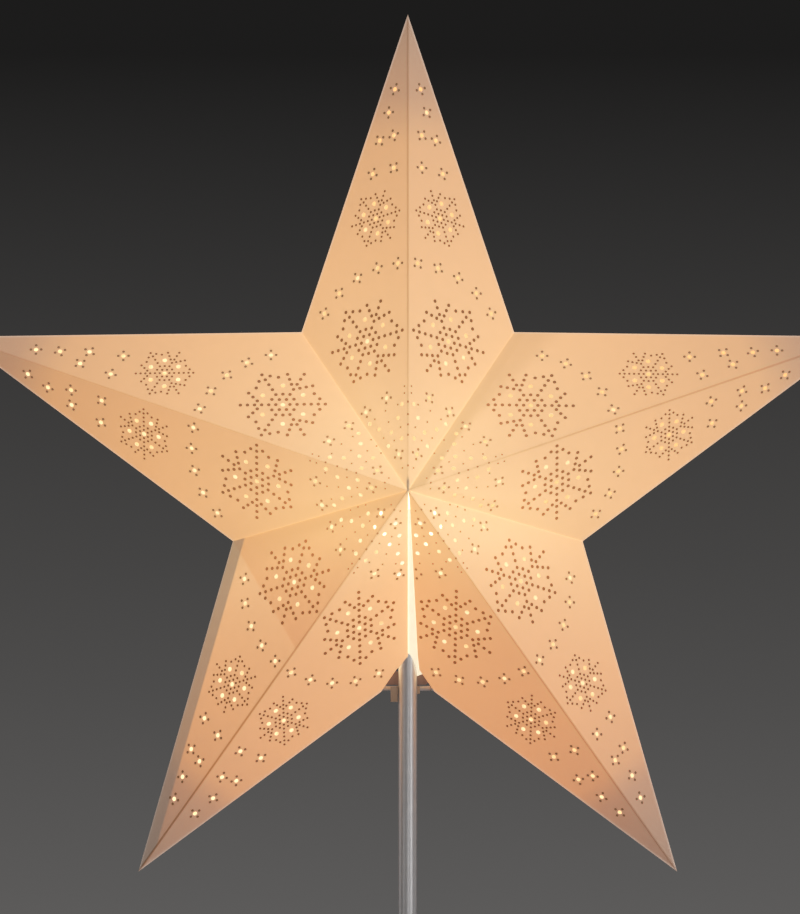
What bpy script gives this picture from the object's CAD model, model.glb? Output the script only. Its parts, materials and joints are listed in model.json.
"""A lit star lamp of folded, punched card on a pole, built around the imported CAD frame.

The five card arms are cut, punched and printed here. The pole, the foot, the lamp holder,
the bulb and the small parts in the notch are the CAD nodes with detailed materials.
"""
import json
import math

import bmesh
import bpy
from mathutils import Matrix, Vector
from mathutils.geometry import delaunay_2d_cdt


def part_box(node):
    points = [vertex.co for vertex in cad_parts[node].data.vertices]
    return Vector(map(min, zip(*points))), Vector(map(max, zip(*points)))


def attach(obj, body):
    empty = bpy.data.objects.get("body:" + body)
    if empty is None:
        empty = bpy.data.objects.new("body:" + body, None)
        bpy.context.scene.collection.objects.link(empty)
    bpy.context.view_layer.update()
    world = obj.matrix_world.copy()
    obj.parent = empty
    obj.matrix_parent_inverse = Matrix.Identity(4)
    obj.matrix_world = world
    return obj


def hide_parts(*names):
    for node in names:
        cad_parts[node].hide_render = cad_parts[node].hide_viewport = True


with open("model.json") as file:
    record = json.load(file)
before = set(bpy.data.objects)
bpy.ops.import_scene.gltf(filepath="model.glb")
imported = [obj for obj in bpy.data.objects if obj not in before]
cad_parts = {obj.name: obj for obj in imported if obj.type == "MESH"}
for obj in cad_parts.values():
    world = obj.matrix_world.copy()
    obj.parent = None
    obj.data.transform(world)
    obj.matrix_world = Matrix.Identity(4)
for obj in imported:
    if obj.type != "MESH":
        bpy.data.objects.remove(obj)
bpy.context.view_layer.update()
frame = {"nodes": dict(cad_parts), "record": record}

NODES = frame["nodes"]
MM = 0.001
FRONT, REAR = -1, 1

# ---------------------------------------------------------------- the star's corners
# A flat point is (x, z) across the star, in millimetres from its centre.

CENTRE_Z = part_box("top_arm")[0][2]
HALF_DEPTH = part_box("top_arm")[1][1] / MM
CARD = 0.5  # thickness of the card, mm
FIN = 8.0  # width of the glued fins, mm
BALL_RADIUS = (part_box("bulb_glass")[1][0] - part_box("bulb_glass")[0][0]) / 2
BULB = (0.0, 0.0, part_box("bulb_glass")[1][2] - BALL_RADIUS)


def flat_corners(node):
    points = [v.co for v in NODES[node].data.vertices]
    return [Vector((p.x / MM, (p.z - CENTRE_Z) / MM)) for p in points]


def furthest(node, x, z):
    """The node's corner that lies furthest in the direction (x, z)."""
    way = Vector((x, z))
    return max(flat_corners(node), key=lambda p: p.dot(way))


def nearest(node, x, z):
    """The node's corner nearest to a rough place."""
    place = Vector((x, z))
    return min(flat_corners(node), key=lambda p: (p - place).length)


UPPER_LEFT = furthest("top_arm", -1, 0.1)
UPPER_RIGHT = furthest("top_arm", 1, 0.1)
LOWER_LEFT = furthest("lower_left_arm", -0.4, 1)
LOWER_RIGHT = furthest("lower_right_arm", 0.4, 1)
SEAM = Vector((0, -LOWER_LEFT.length))
HUB = Vector((0, 0))
NOTCH_TOP = nearest("lower_left_arm", 0, -104)
NOTCH_SHOULDER = nearest("lower_right_arm", 7.5, -115.5)
NOTCH_RIM = nearest("lower_right_arm", 17.1, -129.7)
SEAM_START = Vector((1.1, -5))  # the open seam's right edge in front, top and bottom
SEAM_END = Vector((6.4, -106))
REAR_SEAM_START = Vector((1, -4))
REAR_SEAM_END = NOTCH_TOP + Vector((1, 0))
FRONT_NOTCH_DROP = 3.5  # how much lower the notch starts on the left front panel, mm
DRAWN_IN_FROM = 120  # how far along the ridge the motif is drawn in by its whole measure, mm
FAR = 50.0  # stands for a distance too great to matter, mm


def left_right(point):
    return Vector((-point.x, point.y))


class Half:
    """One flat half panel: the card between an arm's ridge, its rim and a valley."""

    def __init__(self, side, tip, valley, outline, drawn_in):
        self.side = side
        self.drawn_in = drawn_in
        self.tip = tip
        self.valley = valley
        self.outline = outline
        self.glue = (0.0, 0.0, 0.0)
        self.lining = 0.0
        self.crease = 0.0
        turn = tip.x * valley.y - tip.y * valley.x
        self.slope = Vector((valley.y - tip.y, tip.x - valley.x)) / turn
        out = Vector((self.slope.x, side / HALF_DEPTH, self.slope.y))
        self.reach = 1 / out.length
        self.normal = out.normalized()
        self.ridge_way = tip.normalized()
        across = valley - self.ridge_way * valley.dot(self.ridge_way)
        self.across_way = across.normalized()
        self.rim_way = (tip - valley).normalized()
        self.along = Vector((self.rim_way.x, 0, self.rim_way.y))
        self.up = self.normal.cross(self.along)

    def lift(self, point, share=1.0):
        """The 3-D place of a flat point on the outer face, or on the star shrunk to share."""
        return Vector((point.x, self.side * HALF_DEPTH * (share - self.slope.dot(point)), point.y))

    def spot(self, across, along):
        """The flat point at a distance across from the ridge and along it, on a full size arm."""
        size = self.tip.length / FULL_REACH
        along -= self.drawn_in * min(1, along / DRAWN_IN_FROM)
        if self.side == REAR:
            along -= REAR_DRAWN_IN
        return (self.ridge_way * along + self.across_way * across) * size

    def ring(self, centre, radius, sides, sink=0.0):
        """A circle round a flat point, in the plane of the card and sunk below its face."""
        middle = self.lift(centre) - self.normal * sink
        points = []
        for i in range(sides):
            angle = 2 * math.pi * i / sides
            way = math.cos(angle) * self.along + math.sin(angle) * self.up
            points.append(middle + radius * way)
        return points

    def shift(self, centre, distance, degrees):
        """The flat point at a distance and angle from another, measured in the card's plane."""
        angle = math.radians(degrees)
        move = distance * (math.cos(angle) * self.along + math.sin(angle) * self.up)
        return centre + Vector((move.x, move.z))

    def from_ridge(self, point):
        """Distance from a flat point to the ridge, mm."""
        return abs(point.x * self.ridge_way.y - point.y * self.ridge_way.x)

    def inside_lining(self, point):
        """How far a flat point lies on the centre's side of the lining's edge, mm."""
        if not self.lining:
            return -FAR
        end = self.ridge_way * self.lining
        edge = (end - self.valley).normalized()
        side = edge.x * (point.y - self.valley.y) - edge.y * (point.x - self.valley.x)
        hub_side = edge.y * self.valley.x - edge.x * self.valley.y
        return side if hub_side > 0 else -side

    def folds(self, point):
        """Distances from a flat point to the ridge, the valley and the rim."""
        ridge = self.from_ridge(point)
        line = self.valley.normalized()
        valley = abs(point.x * line.y - point.y * line.x)
        from_tip = point - self.tip
        rim = abs(from_tip.x * self.rim_way.y - from_tip.y * self.rim_way.x)
        return ridge, valley, rim

    def holds(self, centre, radius):
        """True if a circle lies inside the outline, clear of its edges."""
        inside = False
        ends = [p for p, _ in self.outline]
        for a, b in zip(ends, ends[1:] + ends[:1]):
            edge = b - a
            share = max(0, min(1, (centre - a).dot(edge) / edge.length_squared))
            if (a + edge * share - centre).length < radius:
                return False
            if (a.y > centre.y) != (b.y > centre.y):
                inside ^= centre.x < a.x + (centre.y - a.y) * edge.x / edge.y
        return inside


FULL_REACH = furthest("top_arm", 0, 1).y

# ---------------------------------------------------------------- outlines of the panels
# Each outline point carries the kind of edge that starts there.


def plain_outline(tip, valley):
    return [(HUB, "ridge"), (tip, "rim"), (valley, "cut")]


def notched_outline(tip, mirrored, seam):
    """A lower arm's panel beside the open seam, with the notch for the pole cut away."""
    places = [NOTCH_RIM, NOTCH_SHOULDER] + seam
    if mirrored:
        places = [left_right(p) for p in places]
    return [(HUB, "ridge"), (tip, "rim")] + [(p, "cut") for p in places]


def arm_halves(node, way, left_valley, right_valley):
    """The four half panels of an arm, two in front and two behind."""
    tip = furthest(node, *way)
    halves = []
    for side in (FRONT, REAR):
        for valley in (left_valley, right_valley):
            if valley is not SEAM:
                outline = plain_outline(tip, valley)
            elif tip.x < 0:
                drop = FRONT_NOTCH_DROP if side == FRONT else 0
                outline = notched_outline(tip, True, [NOTCH_TOP - Vector((0, drop))])
            elif side == FRONT:
                outline = notched_outline(tip, False, [SEAM_END, SEAM_START])
            else:
                outline = notched_outline(tip, False, [REAR_SEAM_END, REAR_SEAM_START])
            panel = (node, tuple(valley))
            strip = 1.0 if node == "lower_left_arm" and valley is LOWER_LEFT else 0.0
            half = Half(side, tip, valley, outline, DRAWN_IN[node])
            half.glue = (BANDS.get(panel, 0.0), strip, WARM_PANELS.get(panel, 0.0))
            half.lining = LININGS.get(panel, 0.0)
            half.crease = CREASES[node]
            halves.append(half)
    return halves


# How strongly a fin glued behind the card darkens it, by arm and valley
BANDS = {
    ("top_arm", tuple(UPPER_LEFT)): 0.22,
    ("right_arm", tuple(UPPER_RIGHT)): 0.75,
    ("lower_left_arm", tuple(LOWER_LEFT)): 0.4,
    ("right_arm", tuple(LOWER_RIGHT)): 0.22,
    ("left_arm", tuple(LOWER_LEFT)): 0.22,
}
# How far along the ridge a second layer of card reaches, mm
LININGS = {
    ("lower_left_arm", tuple(LOWER_LEFT)): 123,
}
# How much of the warm tint of a second layer shows all over a panel
WARM_PANELS = {
    ("left_arm", tuple(LOWER_LEFT)): 0.5,
    ("lower_right_arm", tuple(SEAM)): 1.0,
}
# How dark the folded edge along each ridge looks
CREASES = {
    "top_arm": 0.6,
    "left_arm": 0.15,
    "lower_left_arm": 1.0,
    "lower_right_arm": 0.6,
    "right_arm": 0.5,
}
# How much nearer the centre the motif sits than the places in the tables below, mm
DRAWN_IN = {
    "top_arm": 1.3,
    "left_arm": 3.6,
    "lower_left_arm": 5.8,
    "lower_right_arm": 6.8,
    "right_arm": 5.4,
}
REAR_DRAWN_IN = 3.5  # how much nearer still on the rear panels, mm
ARMS = {
    "top_arm": arm_halves("top_arm", (0, 1), UPPER_LEFT, UPPER_RIGHT),
    "left_arm": arm_halves("left_arm", (-1, 0.2), UPPER_LEFT, LOWER_LEFT),
    "lower_left_arm": arm_halves("lower_left_arm", (-0.5, -1), LOWER_LEFT, SEAM),
    "lower_right_arm": arm_halves("lower_right_arm", (0.5, -1), SEAM, LOWER_RIGHT),
    "right_arm": arm_halves("right_arm", (1, 0.2), LOWER_RIGHT, UPPER_RIGHT),
}
PANEL_REACH = ARMS["top_arm"][0].reach
INNER = 1 - CARD / PANEL_REACH  # how much smaller the star's inner face is

# ---------------------------------------------------------------- the punched and printed motif
# A mark is (flat centre, radius). Places are (across from the ridge, along it).

TIP_FLOWERS = [(8.3, 258), (12.2, 243), (9, 228), (18, 225), (9, 207), (22.5, 203.5)]
HEART_FLOWERS = [(13.5, 59), (26.6, 50), (5.8, 23)]
SMALL_FLAKE, SMALL_STEP = (20.5, 174.6), 3.06  # a flake's middle, and the step between dots
LARGE_FLAKE, LARGE_STEP = (25.8, 95.5), 4.5
HEART_HOLES = [(3.9, 55), (6.4, 46.2), (4, 33.1), (10.6, 36.9), (12.4, 28.2), (18.3, 38.9),
               (24.1, 42.4)]
HEART_DOTS = [(6.4, 54.6), (14.1, 50.7), (20.9, 45.3), (12.2, 43.5), (4.6, 40.2), (15.3, 33.3),
              (8.6, 31.7), (20, 28.6), (16.7, 24.4), (22.7, 33.3), (3.5, 14.3)]
RIDGE_DOTS = [56.5, 48.5, 42, 35.4, 15.9]
CROSS_AT = 64.2  # middle of the four dots that straddle the ridge
CROSS_STEP = 2.2
RIDGE_DOT = 0.75
HEART_DOT = 0.65
HEART_HOLE = 1.4
HOLE_MARGIN = 0.5  # least card between a hole and the edge of its panel, mm
HOLE_SIDES = 16
FLOWER_HOLE = 1.45
FLOWER_DOT = 0.92
FLOWER_REACH = 3.3
FLAKE_HOLE = 1.5
FORK_SPREAD = 48  # degrees between a forked arm and its branches
ARROW_SPREAD = 131  # degrees between an arm and the sides of its arrowhead


def arc_flowers():
    """Flowers on an arc round the large flake, a little further apart towards the rim."""
    middle, radius = 84.7, 61
    places = []
    for n in range(5):
        angle = math.radians(6 + 12 * n + 0.45 * n * n)
        places.append((radius * math.sin(angle), middle + radius * math.cos(angle)))
    return places


def flower(half, place, turn, holes, dots):
    centre = half.spot(*place)
    holes.append((centre, FLOWER_HOLE))
    for k in range(4):
        dots.append((half.shift(centre, FLOWER_REACH, turn + 90 * k), FLOWER_DOT))


def flake(half, place, step, holes, dots):
    """A six-armed flake: every other arm is forked, the others end in an arrowhead."""
    centre = half.spot(*place)
    dot = 0.26 * step
    holes.append((centre, FLAKE_HOLE))
    for k in range(6):
        way = 60 * k
        for i in range(1, 7):
            dots.append((half.shift(centre, i * step, way), dot))
        if k % 2 == 0:
            root, spread, gap, count = 3 * step, FORK_SPREAD, 0.92 * step, 3
        else:
            root, spread, gap, count = 6 * step, ARROW_SPREAD, 1.2 * step, 2
        node = half.shift(centre, root, way)
        for turn in (-spread, spread):
            for i in range(count):
                dots.append((half.shift(node, (i + 1) * gap, way + turn), dot))
        dots.append((half.shift(centre, 1.8 * step, way + 30), dot))
        holes.append((half.shift(centre, 3.3 * step, way + 30), FLAKE_HOLE))


def motif(half):
    """Everything punched and printed on a half panel: (holes, flake dots, small dots)."""
    holes, flake_dots, small_dots = [], [], []
    for i, place in enumerate(TIP_FLOWERS + arc_flowers() + HEART_FLOWERS):
        flower(half, place, 18 * i, holes, small_dots)
    flake(half, SMALL_FLAKE, SMALL_STEP, holes, flake_dots)
    flake(half, LARGE_FLAKE, LARGE_STEP, holes, flake_dots)
    holes += [(half.spot(*place), HEART_HOLE) for place in HEART_HOLES]
    small_dots += [(half.spot(*place), HEART_DOT) for place in HEART_DOTS]
    for end in (-1, 1):
        small_dots.append((half.spot(CROSS_STEP, CROSS_AT + end * CROSS_STEP), HEART_DOT))
    holes = [(c, r) for c, r in holes if half.holds(c, r + HOLE_MARGIN)]
    flake_dots = [(c, r) for c, r in flake_dots if half.holds(c, r)]
    small_dots = [(c, r) for c, r in small_dots if half.holds(c, r)]
    return holes, flake_dots, small_dots


# ---------------------------------------------------------------- meshes

MERGE = 1e-6  # flat points nearer than this are one, mm
FIN_START = 0.06  # where a fin starts, as a share of its valley
FIN_CLEAR = 0.001  # gap between a fin and the panel, as a share of the star
PRINT_PROUD = 0.07  # how far an ink dot stands out of the card, and reaches into it, mm
PRINT_SUNK = 0.02
EAR_GAP = 1.2  # from the panel's inner face to the strip, in thicknesses of card
EAR_CORNERS = [
    (0.1, -97), (10.5, -97), (9.4, -118.3), (5.2, -120), (4.0, -111), (1.6, -107.2), (0.1, -107.2),
]


class Solid:
    """Collects faces by their corner places, which are shared where they meet."""

    def __init__(self):
        self.places = {}
        self.points = []
        self.faces = []
        self.slots = []
        self.owners = []

    def corner(self, point):
        key = (round(point.x, 3), round(point.y, 3), round(point.z, 3))
        if key not in self.places:
            self.places[key] = len(self.points)
            self.points.append(Vector((point.x * MM, point.y * MM, point.z * MM + CENTRE_Z)))
        return self.places[key]

    def face(self, points, slot=0, owner=None):
        corners = [self.corner(p) for p in points]
        if len(set(corners)) == len(corners):
            self.faces.append(corners)
            self.slots.append(slot)
            self.owners.append(owner)

    def prism(self, low, high, slot=0):
        """A closed prism between two rings of corners."""
        self.face(low, slot)
        self.face(high, slot)
        for i in range(len(low)):
            j = (i + 1) % len(low)
            self.face([low[i], low[j], high[j], high[i]], slot)

    def build(self, name, materials):
        mesh = bpy.data.meshes.new(name)
        mesh.from_pydata(self.points, [], self.faces)
        for material in materials:
            mesh.materials.append(material)
        mesh.polygons.foreach_set("material_index", self.slots)
        shape = bmesh.new()
        shape.from_mesh(mesh)
        bmesh.ops.recalc_face_normals(shape, faces=shape.faces)
        shape.to_mesh(mesh)
        shape.free()
        obj = bpy.data.objects.new(name, mesh)
        bpy.context.scene.collection.objects.link(obj)
        return obj


def turned_left(loop):
    """The loop's flat points, in anticlockwise order."""
    area = sum(a.x * b.y - a.y * b.x for a, b in zip(loop, loop[1:] + loop[:1]))
    return loop if area > 0 else loop[::-1]


def cut_sheet(outline, loops):
    """Triangles over an outline with loops left open, as lists of three flat points."""
    points = turned_left(list(outline))
    faces = [list(range(len(points)))]
    for loop in loops:
        faces.append(list(range(len(points), len(points) + len(loop))))
        points += turned_left(loop)
    corners, _, triangles, _, _, owners = delaunay_2d_cdt(points, [], faces, 1, MERGE)
    kept = [t for t, owner in zip(triangles, owners) if list(owner) == [0]]
    return [[corners[i] for i in t] for t in kept]


def flat(point):
    return Vector((point.x, point.z))


def add_panel(solid, half, holes):
    """The outer face, the inner face, the punched holes' walls and the cut edges."""
    outline = [p for p, _ in half.outline]
    depth = CARD * half.reach / PANEL_REACH
    outer_rings = [half.ring(c, r, HOLE_SIDES) for c, r in holes]
    inner_rings = [half.ring(c, r, HOLE_SIDES, depth) for c, r in holes]
    for triangle in cut_sheet(outline, [[flat(p) for p in ring] for ring in outer_rings]):
        solid.face([half.lift(p) for p in triangle], 0, half)
    shrunk = [p * INNER for p in outline]
    for triangle in cut_sheet(shrunk, [[flat(p) for p in ring] for ring in inner_rings]):
        solid.face([half.lift(p, INNER) for p in triangle], 1, half)
    for outer, inner in zip(outer_rings, inner_rings):
        for i in range(len(outer)):
            j = (i + 1) % len(outer)
            solid.face([outer[i], outer[j], inner[j], inner[i]], 1, half)
    for i, (start, kind) in enumerate(half.outline):
        if kind == "cut":
            end = half.outline[(i + 1) % len(half.outline)][0]
            solid.face([half.lift(start), half.lift(end), half.lift(end * INNER, INNER),
                        half.lift(start * INNER, INNER)], 1, half)


def add_fin(solid, half):
    """The strip that is folded in along a closed valley and glued to the next arm's."""
    valley_way = half.valley.normalized()
    inward = half.ridge_way - valley_way * half.ridge_way.dot(valley_way)
    offset = inward.normalized() * CARD
    thick = Vector((offset.x, 0, offset.y))
    edge = [half.valley * FIN_START, half.valley]
    shallow = INNER - FIN_CLEAR
    deep = 1 - FIN / PANEL_REACH
    outer = [half.lift(p * shallow, shallow) for p in edge]
    inner = [half.lift(p * deep, deep) for p in reversed(edge)]
    low = [p + thick * 0.1 for p in outer + inner]
    solid.prism(low, [p + thick for p in low], 1)


def write_folds(obj, owners):
    """Stores, at each face corner, how far the folds and the lining are, and how it is glued."""
    mesh = obj.data
    folds = mesh.attributes.new("folds", "FLOAT_VECTOR", "CORNER")
    glue = mesh.attributes.new("glue", "FLOAT_VECTOR", "CORNER")
    lining = mesh.attributes.new("lining", "FLOAT_VECTOR", "CORNER")
    for polygon, half in zip(mesh.polygons, owners):
        for loop in polygon.loop_indices:
            if half is None:
                folds.data[loop].vector = (FAR, FAR, FAR)
                lining.data[loop].vector = (-FAR, 0, 0)
                continue
            place = mesh.vertices[mesh.loops[loop].vertex_index].co
            point = Vector((place.x / MM, (place.z - CENTRE_Z) / MM))
            folds.data[loop].vector = half.folds(point)
            glue.data[loop].vector = half.glue
            lining.data[loop].vector = (half.inside_lining(point), half.crease, 0)


def make_arm(node, halves, marks, materials):
    solid = Solid()
    for half, (holes, _, _) in zip(halves, marks):
        add_panel(solid, half, holes)
        if half.valley is not SEAM:
            add_fin(solid, half)
    arm = solid.build(node + "_punched", materials)
    write_folds(arm, solid.owners)
    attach(arm, "shade")
    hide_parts(node)


def make_seam_ear(material):
    """The end of the strip behind the front seam, which shows beside the pole in the notch."""
    half = ARMS["lower_right_arm"][0]
    share = INNER - EAR_GAP * CARD / PANEL_REACH
    deep = share - CARD / PANEL_REACH
    edge = [Vector(p) for p in EAR_CORNERS]
    ear = Solid()
    ear.prism([half.lift(p, share) for p in edge], [half.lift(p, deep) for p in edge])
    strip = ear.build("seam_ear", [material])
    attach(strip, "shade")


def add_dot(solid, half, centre, radius, slot):
    sides = 8 if radius <= HEART_DOT else 12
    low = half.ring(centre, radius, sides, PRINT_SUNK)
    high = half.ring(centre, radius, sides, -PRINT_PROUD)
    solid.prism(low, high, slot)


def add_ridge_dot(solid, half, along, radius):
    """Half of a dot that is folded over the ridge."""
    middle = half.lift(half.spot(0, along))
    ridge = half.lift(half.tip) - half.lift(HUB)
    ridge.normalize()
    across = half.normal.cross(ridge)
    if across.dot(Vector((half.across_way.x, 0, half.across_way.y))) < 0:
        across = -across
    arc = [math.radians(a) for a in range(-90, 91, 20)]
    rim = [middle + radius * (math.cos(a) * across + math.sin(a) * ridge) for a in arc]
    low = [p - half.normal * PRINT_SUNK for p in rim]
    solid.prism(low, [p + half.normal * PRINT_PROUD for p in rim], 1)


def make_print(node, halves, marks, materials):
    solid = Solid()
    for half, (_, flake_dots, small_dots) in zip(halves, marks):
        for centre, radius in flake_dots:
            add_dot(solid, half, centre, radius, 0)
        for centre, radius in small_dots:
            add_dot(solid, half, centre, radius, 1)
        for along in RIDGE_DOTS:
            add_ridge_dot(solid, half, along, RIDGE_DOT)
    dots = solid.build(node + "_print", materials)
    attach(dots, "shade")


# ---------------------------------------------------------------- materials


class Paint:
    """Short names for building one material's nodes. Colours are linear."""

    def __init__(self, name):
        self.material = bpy.data.materials.new(name)
        self.material.use_nodes = True
        self.tree = self.material.node_tree
        self.tree.nodes.clear()
        self.shader = self.add("ShaderNodeBsdfPrincipled")
        output = self.add("ShaderNodeOutputMaterial")
        self.tree.links.new(self.shader.outputs["BSDF"], output.inputs["Surface"])
        self.place = self.add("ShaderNodeTexCoord").outputs["Object"]

    def add(self, kind, **settings):
        node = self.tree.nodes.new(kind)
        for key, value in settings.items():
            setattr(node, key, value)
        return node

    def put(self, socket, value):
        if isinstance(value, bpy.types.NodeSocket):
            self.tree.links.new(value, socket)
        else:
            socket.default_value = value

    def set(self, name, value):
        if "Color" in name and not isinstance(value, bpy.types.NodeSocket):
            value = (*value, 1)
        self.put(self.shader.inputs[name], value)

    def math(self, operation, a, b=0.0):
        node = self.add("ShaderNodeMath", operation=operation)
        self.put(node.inputs[0], a)
        self.put(node.inputs[1], b)
        return node.outputs[0]

    def remap(self, value, low, high, to_low=0.0, to_high=1.0, smooth=False):
        kind = "SMOOTHSTEP" if smooth else "LINEAR"
        node = self.add("ShaderNodeMapRange", interpolation_type=kind)
        for index, item in enumerate((value, low, high, to_low, to_high)):
            self.put(node.inputs[index], item)
        return node.outputs[0]

    def noise(self, scale, detail=3.0, rough=0.5, stretch=None, twist=0.0):
        place = self.place
        if stretch:
            node = self.add("ShaderNodeVectorMath", operation="MULTIPLY")
            self.put(node.inputs[0], place)
            self.put(node.inputs[1], stretch)
            place = node.outputs[0]
        node = self.add("ShaderNodeTexNoise")
        self.put(node.inputs["Vector"], place)
        node.inputs["Scale"].default_value = scale
        node.inputs["Detail"].default_value = detail
        node.inputs["Roughness"].default_value = rough
        node.inputs["Distortion"].default_value = twist
        return node.outputs[0]

    def ramp(self, factor, stops):
        """A colour ramp from [(position, (r, g, b)), ...]."""
        node = self.add("ShaderNodeValToRGB")
        ramp = node.color_ramp
        while len(ramp.elements) < len(stops):
            ramp.elements.new(0.5)
        for element, (position, colour) in zip(ramp.elements, stops):
            element.position = position
            element.color = (*colour, 1)
        self.put(node.inputs[0], factor)
        return node.outputs[0]

    def mix(self, factor, a, b):
        node = self.add("ShaderNodeMix", data_type="RGBA")
        self.put(node.inputs[0], factor)
        self.put(node.inputs[6], a if isinstance(a, bpy.types.NodeSocket) else (*a, 1))
        self.put(node.inputs[7], b if isinstance(b, bpy.types.NodeSocket) else (*b, 1))
        return node.outputs[2]

    def scaled(self, colour, factor):
        node = self.add("ShaderNodeVectorMath", operation="SCALE")
        self.put(node.inputs[0], colour)
        self.put(node.inputs["Scale"], factor)
        return node.outputs[0]

    def tinted(self, colour, tint):
        node = self.add("ShaderNodeVectorMath", operation="MULTIPLY")
        self.put(node.inputs[0], colour)
        self.put(node.inputs[1], tint)
        return node.outputs[0]

    def parts(self, vector):
        node = self.add("ShaderNodeSeparateXYZ")
        self.put(node.inputs[0], vector)
        return node.outputs

    def attribute(self, name):
        return self.add("ShaderNodeAttribute", attribute_name=name).outputs["Vector"]

    def bump(self, height, depth, strength):
        node = self.add("ShaderNodeBump")
        node.inputs["Strength"].default_value = strength
        node.inputs["Distance"].default_value = depth
        self.put(node.inputs["Height"], height)
        self.tree.links.new(node.outputs[0], self.shader.inputs["Normal"])

    def lamp_distance(self):
        """Distance from the middle of the bulb, in metres."""
        node = self.add("ShaderNodeVectorMath", operation="DISTANCE")
        self.put(node.inputs[0], self.place)
        self.put(node.inputs[1], BULB)
        return node.outputs["Value"]

    def glow(self, colour):
        """Self-lit by a colour that follows the surface, and left out of light sampling."""
        self.set("Emission Color", colour)
        self.set("Emission Strength", 1.0)
        self.material.cycles.emission_sampling = "NONE"


GLOW_REACH = 0.34  # about how far the furthest card lies from the bulb, m
# Light that comes through the card, by its path from the bulb as a share of GLOW_REACH
THROUGH_CARD = [
    (0.18, (0.77, 0.46, 0.185)),
    (0.32, (0.68, 0.36, 0.125)),
    (0.50, (0.64, 0.31, 0.094)),
    (0.71, (0.55, 0.245, 0.064)),
    (0.80, (0.35, 0.140, 0.040)),
    (1.00, (0.17, 0.065, 0.022)),
]
# Light on the inner face, which shows through the holes, by distance in the same way
INSIDE_CARD = [
    (0.15, (0.42, 0.36, 0.235)),
    (0.40, (0.45, 0.37, 0.25)),
    (0.70, (0.55, 0.42, 0.275)),
    (1.00, (0.53, 0.38, 0.245)),
]
CARD_BELOW_LAMP = (0.90, 0.725, 0.54)  # tint of what the holder shades
INK_BELOW_LAMP = (0.55, 0.40, 0.20)
SECOND_LAYER = (0.94, 0.81, 0.56)  # tint of card with a second layer behind it
GLUED_FIN = (0.74, 0.655, 0.34)  # tint of card with a fin behind it
GLUED_STRIP = 0.42  # share of the light that the strip along a rim lets through
RIM_GLEAM = (0.62, 0.52, 0.46)  # the paler edge along the rims
CREASED = (0.38, 0.22, 0.12)  # colour of the rubbed edge along the ridges


def below_lamp(paint):
    """1 below the bulb, where its cap and holder stand in the light, and 0 above it."""
    height = paint.parts(paint.place)[2]
    drop = paint.math("SUBTRACT", height, BULB[2])
    share = paint.math("DIVIDE", drop, paint.lamp_distance())
    return paint.remap(share, -0.85, -0.05, 1.0, 0.0, smooth=True)


def hub_distance(paint):
    """Distance from the axis through the star's two apexes, in metres."""
    x, _, z = paint.parts(paint.place)
    height = paint.math("SUBTRACT", z, CENTRE_Z)
    square = paint.math("ADD", paint.math("MULTIPLY", x, x), paint.math("MULTIPLY", height, height))
    return paint.math("SQRT", square)


def holder_shade(paint, light, tint):
    """The light, tinted where the holder stands in its way."""
    return paint.mix(below_lamp(paint), light, paint.tinted(light, tint))


def lamp_share(paint):
    """Distance from the bulb as a share of GLOW_REACH."""
    return paint.math("DIVIDE", paint.lamp_distance(), GLOW_REACH)


def light_path(paint):
    """As lamp_share, but longer for what the holder hides."""
    near = lamp_share(paint)
    longer = paint.remap(near, 0.45, 0.73, 0.0, 0.17, smooth=True)
    return paint.math("ADD", near, paint.math("MULTIPLY", longer, below_lamp(paint)))


def apex_split(paint):
    """Dims a short upright line at the front point, where the arms' points do not quite meet."""
    x, y, z = paint.parts(paint.place)
    beside = paint.remap(paint.math("ABSOLUTE", x), 0.0004, 0.0011, 1.0, 0.0)
    height = paint.math("ABSOLUTE", paint.math("SUBTRACT", z, CENTRE_Z + 0.002))
    level = paint.remap(height, 0.004, 0.007, 1.0, 0.0)
    front = paint.math("LESS_THAN", y, 0.0)
    here = paint.math("MULTIPLY", paint.math("MULTIPLY", beside, level), front)
    return paint.remap(here, 0.0, 1.0, 1.0, 0.35)


def paper_grain(paint):
    """(cloudiness of the sheet held to the light, its fibres)."""
    cloud = paint.noise(210, 4, 0.62)
    fibre = paint.noise(1700, 3, 0.6, stretch=(1, 1, 0.3), twist=0.4)
    return cloud, fibre


def crease_here(paint, crease, ridge):
    """How dark the folded edge along a ridge looks, less so near the bulb."""
    crease = paint.math("MULTIPLY", crease, paint.remap(ridge, 0.25, 1.0, 1.0, 0.0))
    near_lamp = paint.remap(paint.lamp_distance(), 0.07, 0.14, 0.35, 1.0)
    return paint.math("MULTIPLY", crease, near_lamp)


def fin_shade(paint, band, valley):
    """How much a glued fin darkens the card: over the fin, and in a wedge beside it."""
    over_fin = paint.remap(valley, FIN - 1.6, FIN, 1.0, 0.0, smooth=True)
    wedge = paint.math("DIVIDE", paint.math("MULTIPLY", valley, MM), hub_distance(paint))
    beyond_fin = paint.remap(wedge, 0.10, 0.22, 0.78, 0.0, smooth=True)
    return paint.math("MULTIPLY", band, paint.math("MAXIMUM", over_fin, beyond_fin))


def fine_dimming(paint, crease, valley, cloud, fibre):
    """Light lost at the creases and in the sheet itself, and gained in a valley's line."""
    dim = paint.math("MULTIPLY", apex_split(paint), paint.remap(crease, 0.0, 1.0, 1.0, 0.62))
    dim = paint.math("MULTIPLY", dim, paint.remap(valley, 0.25, 0.9, 1.18, 1.0))
    dim = paint.math("MULTIPLY", dim, paint.remap(cloud, 0.3, 0.7, 0.965, 1.035))
    return paint.math("MULTIPLY", dim, paint.remap(fibre, 0.3, 0.7, 0.985, 1.015))


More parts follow.
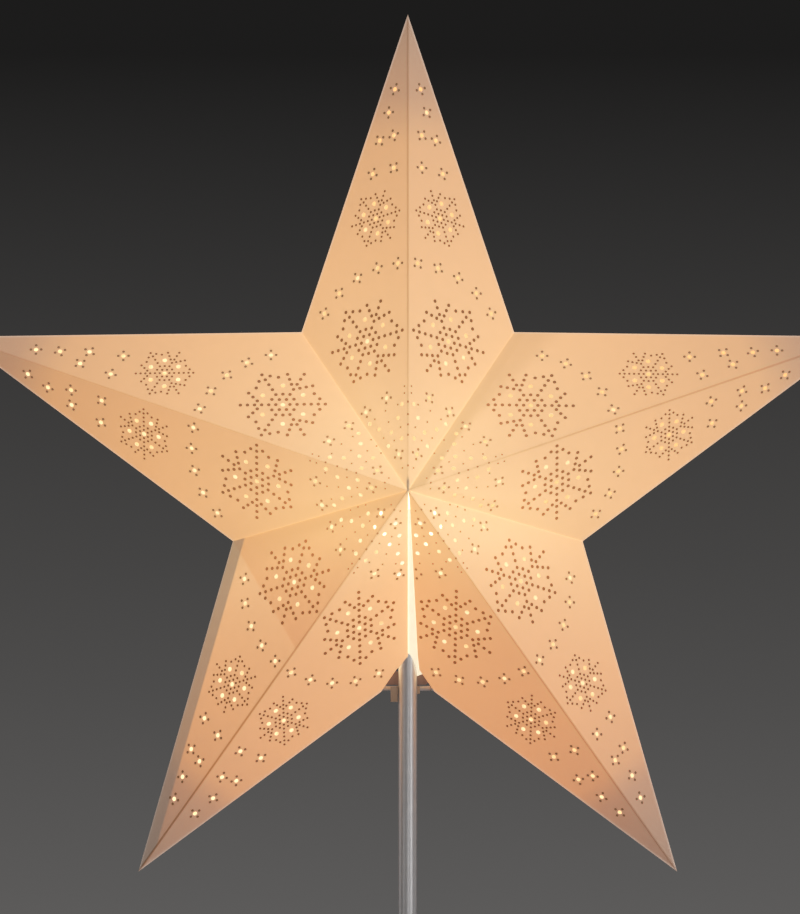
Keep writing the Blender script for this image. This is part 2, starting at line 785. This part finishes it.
def card_outside():
    """Card lit from behind. The mesh says where its folds, fins and second layers are."""
    paint = Paint("card_outside")
    cloud, fibre = paper_grain(paint)
    ridge, valley, rim = paint.parts(paint.attribute("folds"))
    band, strip, warm = paint.parts(paint.attribute("glue"))
    lining, crease, _ = paint.parts(paint.attribute("lining"))
    crease = crease_here(paint, crease, ridge)
    light = holder_shade(paint, paint.ramp(light_path(paint), THROUGH_CARD), CARD_BELOW_LAMP)
    lit = paint.scaled(light, fine_dimming(paint, crease, valley, cloud, fibre))
    layered = paint.math("MAXIMUM", paint.remap(lining, -0.7, 0.7), warm)
    lit = paint.mix(layered, lit, paint.tinted(lit, SECOND_LAYER))
    lit = paint.mix(fin_shade(paint, band, valley), lit, paint.tinted(lit, GLUED_FIN))
    lit = paint.mix(paint.remap(rim, 0.4, 1.3, 0.25, 0.0), lit, RIM_GLEAM)
    beside_rim = paint.remap(rim, 6.2, 7.4, 1.0, 0.0, smooth=True)
    strip_here = paint.math("MULTIPLY", strip, beside_rim)
    paint.glow(paint.mix(strip_here, lit, paint.scaled(lit, GLUED_STRIP)))
    base = paint.mix(fibre, (0.80, 0.74, 0.64), (0.90, 0.85, 0.76))
    paint.set("Base Color", paint.mix(paint.math("MULTIPLY", crease, 0.8), base, CREASED))
    paint.set("Roughness", paint.remap(fibre, 0.3, 0.7, 0.78, 0.92))
    paint.set("Specular IOR Level", 0.25)
    paint.bump(paint.math("ADD", fibre, paint.math("MULTIPLY", cloud, 1.5)), 0.00006, 0.6)
    return paint.material


def card_inside():
    """The inner face and the holes' walls, brighter in some holes than in others."""
    paint = Paint("card_inside")
    cloud, fibre = paper_grain(paint)
    light = paint.ramp(lamp_share(paint), INSIDE_CARD)
    x, _, z = paint.parts(paint.place)
    away = paint.math("MULTIPLY", paint.math("ADD", x, paint.math("SUBTRACT", z, CENTRE_Z)), 0.5)
    bright = paint.math("SUBTRACT", paint.noise(75, 2), away)
    bright = paint.remap(bright, 0.44, 0.58, 0.0, 1.0, smooth=True)
    faint = paint.tinted(light, (0.90, 0.66, 0.46))
    paint.glow(paint.mix(bright, faint, paint.scaled(light, 1.15)))
    paint.set("Base Color", paint.mix(cloud, (0.64, 0.58, 0.49), (0.70, 0.64, 0.55)))
    paint.set("Roughness", 0.9)
    paint.bump(fibre, 0.00006, 0.6)
    return paint.material


def print_ink(name, dark, light, lit):
    """Copper coloured print, which holds back most of the light behind it."""
    paint = Paint(name)
    speckle = paint.noise(2600, 2)
    paint.set("Base Color", paint.mix(paint.remap(speckle, 0.35, 0.65), dark, light))
    paint.set("Metallic", 0.2)
    paint.set("Roughness", paint.remap(speckle, 0.3, 0.7, 0.38, 0.55))
    far = paint.remap(paint.lamp_distance(), 0.06, 0.3, 1.0, 0.45)
    near = paint.remap(paint.lamp_distance(), 0.07, 0.13, 2.0, 1.0)
    light = paint.scaled(lit, paint.math("MULTIPLY", far, near))
    paint.glow(holder_shade(paint, light, INK_BELOW_LAMP))
    paint.bump(speckle, 0.00003, 0.5)
    return paint.material


def surface(name, dark, light, rough, scale, metal=0.0, stretch=None, depth=0.00003):
    """A finish with colour variation, grain, uneven gloss and a fine relief."""
    paint = Paint(name)
    grain = paint.noise(scale, 4, 0.6, stretch)
    patches = paint.noise(scale / 14, 3, 0.55)
    paint.set("Base Color", paint.mix(paint.remap(patches, 0.3, 0.7), dark, light))
    paint.set("Metallic", metal)
    patchy = paint.math("MULTIPLY", patches, 0.3)
    gloss = paint.math("ADD", paint.math("MULTIPLY", grain, 0.7), patchy)
    paint.set("Roughness", paint.remap(gloss, 0.35, 0.65, rough[0], rough[1]))
    paint.bump(grain, depth, 0.5)
    return paint


def seam_card():
    """The strips behind the open seams, close to the bulb and brightly lit."""
    paint = Paint("seam_card_lit")
    cloud, fibre = paper_grain(paint)
    near = paint.remap(paint.lamp_distance(), 0.03, 0.12, 1.0, 0.86)
    dim = paint.math("MULTIPLY", near, paint.remap(cloud, 0.3, 0.7, 0.96, 1.03))
    paint.glow(paint.scaled(paint.mix(cloud, (0.78, 0.68, 0.49), (0.83, 0.73, 0.54)), dim))
    paint.set("Base Color", paint.mix(fibre, (0.84, 0.80, 0.70), (0.92, 0.88, 0.80)))
    paint.set("Roughness", 0.88)
    paint.bump(fibre, 0.00005, 0.6)
    return paint.material


def flap_card():
    """The dull side of the card, out of the lamp's light but for a little."""
    paint = surface("flap_card_grey", (0.24, 0.17, 0.16), (0.32, 0.24, 0.22), (0.78, 0.92), 1500)
    stops = [(0.3, (0.03, 0.02, 0.018)), (0.7, (0.05, 0.033, 0.03))]
    paint.glow(paint.ramp(paint.noise(200), stops))
    return paint.material


def pole_steel():
    """Drawn tube, brushed along its length, with faint handling marks."""
    dark, light = (0.82, 0.81, 0.82), (0.88, 0.87, 0.88)
    paint = surface("pole_steel_brushed", dark, light, (0.39, 0.42), 2600, 0.65,
                    stretch=(1, 1, 0.02), depth=0.000001)
    return paint.material


def frosted_bulb():
    """Opal glass over the lamp: bright in the middle of the ball, softer at the neck."""
    paint = Paint("frosted_glass_lit")
    etch = paint.noise(900, 3)
    height = paint.parts(paint.place)[2]
    neck = paint.remap(height, BULB[2] - 0.034, BULB[2] - 0.012, 0.35, 1.0, smooth=True)
    warm = paint.mix(etch, (1.0, 0.80, 0.50), (1.0, 0.84, 0.56))
    paint.glow(paint.scaled(warm, paint.math("MULTIPLY", neck, 1.3)))
    paint.set("Base Color", paint.mix(etch, (0.86, 0.85, 0.82), (0.93, 0.92, 0.90)))
    paint.set("Roughness", paint.remap(etch, 0.3, 0.7, 0.32, 0.46))
    paint.bump(etch, 0.00002, 0.4)
    return paint.material


def clear_glass():
    paint = Paint("clear_glass_stem")
    seeds = paint.noise(1200, 2)
    paint.set("Base Color", paint.mix(seeds, (0.92, 0.95, 0.94), (0.97, 0.98, 0.97)))
    paint.set("Roughness", paint.remap(seeds, 0.3, 0.7, 0.02, 0.08))
    paint.set("Transmission Weight", 1.0)
    paint.set("IOR", 1.5)
    return paint.material


def hot_filament():
    dark, light = (0.30, 0.28, 0.26), (0.42, 0.40, 0.38)
    paint = surface("tungsten_hot", dark, light, (0.4, 0.55), 3000, metal=1.0)
    paint.glow(paint.ramp(paint.noise(1500), [(0.3, (7.0, 3.6, 1.2)), (0.7, (9.0, 5.0, 1.9))]))
    return paint.material


def foot_paint():
    """Powder coat: fine orange peel and a few duller patches."""
    dark, light = (0.46, 0.47, 0.49), (0.55, 0.56, 0.58)
    paint = surface("foot_paint_powder", dark, light, (0.30, 0.46), 900, depth=0.00008)
    paint.set("Metallic", 0.55)
    paint.set("Coat Weight", 0.25)
    paint.set("Coat Roughness", 0.2)
    return paint.material


DRAWN = (1, 1, 0.05)  # grain stretched along z, as on turned or drawn metal
# Small parts, by the record's slot: name, darker and lighter colour, least and most
# roughness, scale of the grain and, for some, metal, stretch and depth
PLAIN_FINISHES = {
    "wire": (
        "wire_enamelled", (0.80, 0.79, 0.82), (0.90, 0.89, 0.92), (0.35, 0.5), 2400),
    "clip_plastic": (
        "clip_plastic_tan", (0.56, 0.38, 0.26), (0.68, 0.48, 0.34), (0.35, 0.5), 1200),
    "brass": (
        "brass_turned", (0.62, 0.43, 0.17), (0.76, 0.56, 0.26), (0.22, 0.4), 2200, 1.0, DRAWN),
    "cast_iron": (
        "cast_iron_sand", (0.030, 0.030, 0.032), (0.055, 0.055, 0.058), (0.6, 0.85), 420,
        0.4, None, 0.0003),
    "foam": (
        "foam_pad_black", (0.010, 0.010, 0.011), (0.022, 0.022, 0.024), (0.85, 0.98), 1600,
        0.0, None, 0.0002),
    "rubber": (
        "rubber_black", (0.012, 0.012, 0.013), (0.024, 0.024, 0.026), (0.55, 0.72), 1300),
    "white_plastic": (
        "white_plastic_moulded", (0.66, 0.65, 0.62), (0.74, 0.73, 0.70), (0.35, 0.5), 800),
    "zinc_screw": (
        "zinc_plated", (0.48, 0.49, 0.47), (0.62, 0.62, 0.58), (0.25, 0.42), 1800, 1.0),
    "lead_sheath": (
        "lead_sheath_white", (0.66, 0.65, 0.60), (0.76, 0.75, 0.70), (0.4, 0.55), 900),
    "bakelite": (
        "bakelite_black", (0.016, 0.013, 0.011), (0.034, 0.027, 0.022), (0.16, 0.3), 500),
    "ceramic": (
        "ceramic_glazed", (0.72, 0.70, 0.64), (0.82, 0.80, 0.75), (0.14, 0.3), 350),
    "solder": (
        "solder_dull", (0.42, 0.42, 0.42), (0.56, 0.56, 0.55), (0.35, 0.55), 1500, 1.0),
    "vitrite": (
        "vitrite_dark", (0.010, 0.010, 0.016), (0.026, 0.024, 0.036), (0.1, 0.22), 700),
    "bulb_shell": (
        "bulb_shell_nickel", (0.52, 0.51, 0.48), (0.66, 0.65, 0.61), (0.22, 0.38), 2000, 1.0),
    "nickel_wire": (
        "nickel_wire_drawn", (0.48, 0.46, 0.43), (0.60, 0.58, 0.54), (0.25, 0.4), 2600, 1.0),
}


def finishes():
    """The material of every CAD node's slot, by the record's name for it."""
    table = {slot: surface(*values).material for slot, values in PLAIN_FINISHES.items()}
    table["seam_card"] = seam_card()
    table["flap_card"] = flap_card()
    table["pole_steel"] = pole_steel()
    table["foot_paint"] = foot_paint()
    table["frosted_glass"] = frosted_bulb()
    table["clear_glass"] = clear_glass()
    table["tungsten"] = hot_filament()
    return table


def dress_nodes():
    """Gives every CAD node that stays in view its detailed material."""
    table = finishes()
    for part in frame["record"]["subparts"]:
        if part["node"] not in ARMS:
            for slot in NODES[part["node"]].material_slots:
                slot.material = table[part["material_slot"]]


# ---------------------------------------------------------------- stage, light and camera


FLOOR_RADIUS = 1.2
# Grey of the room by the height one looks at, from below the level to above it
ROOM_SPAN = (-0.2, 0.1)
ROOM_GREYS = [(0.0, 0.05), (0.333, 0.106), (0.5, 0.073), (0.593, 0.058), (0.953, 0.0116)]
CAMERA_AWAY = 3.0
# How far the camera stands left of the star's centre and above it, m
CAMERA_LEFT = 0.005
CAMERA_ABOVE = 0.021
VIEW_SHARE = 0.8894  # how much of the star's width is in view


def make_floor():
    mesh = bpy.data.meshes.new("floor")
    shape = bmesh.new()
    bmesh.ops.create_circle(shape, cap_ends=True, segments=96, radius=FLOOR_RADIUS)
    shape.to_mesh(mesh)
    shape.free()
    floor = bpy.data.objects.new("floor", mesh)
    bpy.context.scene.collection.objects.link(floor)
    pale = surface("floor_pale", (0.60, 0.59, 0.58), (0.64, 0.63, 0.62), (0.7, 0.8), 60)
    mesh.materials.append(pale.material)


def make_world():
    """A dark grey room, lighter towards the floor."""
    world = bpy.data.worlds.new("room")
    world.use_nodes = True
    bpy.context.scene.world = world
    tree = world.node_tree
    way = tree.nodes.new("ShaderNodeTexCoord")
    parts = tree.nodes.new("ShaderNodeSeparateXYZ")
    span = tree.nodes.new("ShaderNodeMapRange")
    ramp = tree.nodes.new("ShaderNodeValToRGB")
    span.inputs["From Min"].default_value, span.inputs["From Max"].default_value = ROOM_SPAN
    greys = ramp.color_ramp.elements
    while len(greys) < len(ROOM_GREYS):
        greys.new(0.5)
    for grey, (position, level) in zip(greys, ROOM_GREYS):
        grey.position = position
        grey.color = (level * 1.03, level, level * 0.98, 1)
    tree.links.new(way.outputs["Generated"], parts.inputs[0])
    tree.links.new(parts.outputs["Z"], span.inputs["Value"])
    tree.links.new(span.outputs[0], ramp.inputs[0])
    tree.links.new(ramp.outputs[0], tree.nodes["Background"].inputs["Color"])


def add_light(name, place, aim, size, energy, colour=(1, 1, 1)):
    data = bpy.data.lights.new(name, "AREA")
    data.shape = "RECTANGLE"
    data.size, data.size_y = size
    data.energy = energy
    data.color = colour
    light = bpy.data.objects.new(name, data)
    light.location = place
    way = Vector(aim) - Vector(place)
    light.rotation_euler = way.to_track_quat("-Z", "Y").to_euler()
    light.visible_camera = False
    bpy.context.scene.collection.objects.link(light)


def make_lights():
    star = (0, 0, CENTRE_Z)
    add_light("key_above", (0.05, -1.1, CENTRE_Z + 1.5), star, (1.4, 1.0), 5.4)
    add_light("fill_front", (-0.6, -1.8, 0.25), (0, 0, 0.35), (2.0, 0.9), 0.5, (1, 0.95, 0.9))
    add_light("back_above", (-0.3, 1.7, CENTRE_Z + 1.2), star, (1.4, 1.0), 6)
    add_light("side_right", (1.6, 0.35, 0.45), (0, 0, 0.45), (0.8, 1.4), 1.2)
    add_light("side_left", (-1.5, 0.6, 0.35), (0, 0, 0.35), (0.8, 1.2), 1.2)
    add_light("low_right", (1.5, -0.95, 0.15), (0, 0, 0.35), (1.2, 1.0), 0.7)
    add_light("pole_left", (-1.1, -0.9, 0.1), (0, 0, 0.3), (0.3, 0.45), 0.45)
    add_light("pole_front", (0.22, -1.5, 0.1), (0, 0, 0.3), (0.4, 0.45), 1.1)
    add_light("pole_right", (1.0, -1.05, 0.15), (0, 0, 0.3), (0.07, 0.6), 1.75)


def make_camera():
    """Level and square to the star, from far enough away to see it as the photo does."""
    low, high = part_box("left_arm")[0][0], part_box("right_arm")[1][0]
    view_width = VIEW_SHARE * (high - low)
    data = bpy.data.cameras.new("camera")
    data.sensor_fit = "HORIZONTAL"
    data.sensor_width = 36
    data.lens = data.sensor_width * CAMERA_AWAY / view_width
    data.clip_end = 30
    camera = bpy.data.objects.new("camera", data)
    camera.location = (-CAMERA_LEFT, -CAMERA_AWAY, CENTRE_Z + CAMERA_ABOVE)
    camera.rotation_euler = (math.pi / 2, 0, 0)
    bpy.context.scene.collection.objects.link(camera)
    bpy.context.scene.camera = camera


# ---------------------------------------------------------------- build

bpy.context.scene.view_settings.view_transform = "Standard"
make_camera()
make_floor()
make_world()
make_lights()
dress_nodes()
CARD_MATERIALS = [card_outside(), card_inside()]
make_seam_ear(NODES["front_seam_tongue"].material_slots[0].material)
INKS = [  # of the flakes, and of the flowers and single dots
    print_ink("print_copper", (0.36, 0.20, 0.11), (0.45, 0.26, 0.15), (0.255, 0.098, 0.030)),
    print_ink("print_brown", (0.40, 0.26, 0.16), (0.48, 0.33, 0.21), (0.22, 0.112, 0.042)),
]
for arm_node, arm_panels in ARMS.items():
    arm_marks = [motif(half) for half in arm_panels]
    make_arm(arm_node, arm_panels, arm_marks, CARD_MATERIALS)
    make_print(arm_node, arm_panels, arm_marks, INKS)
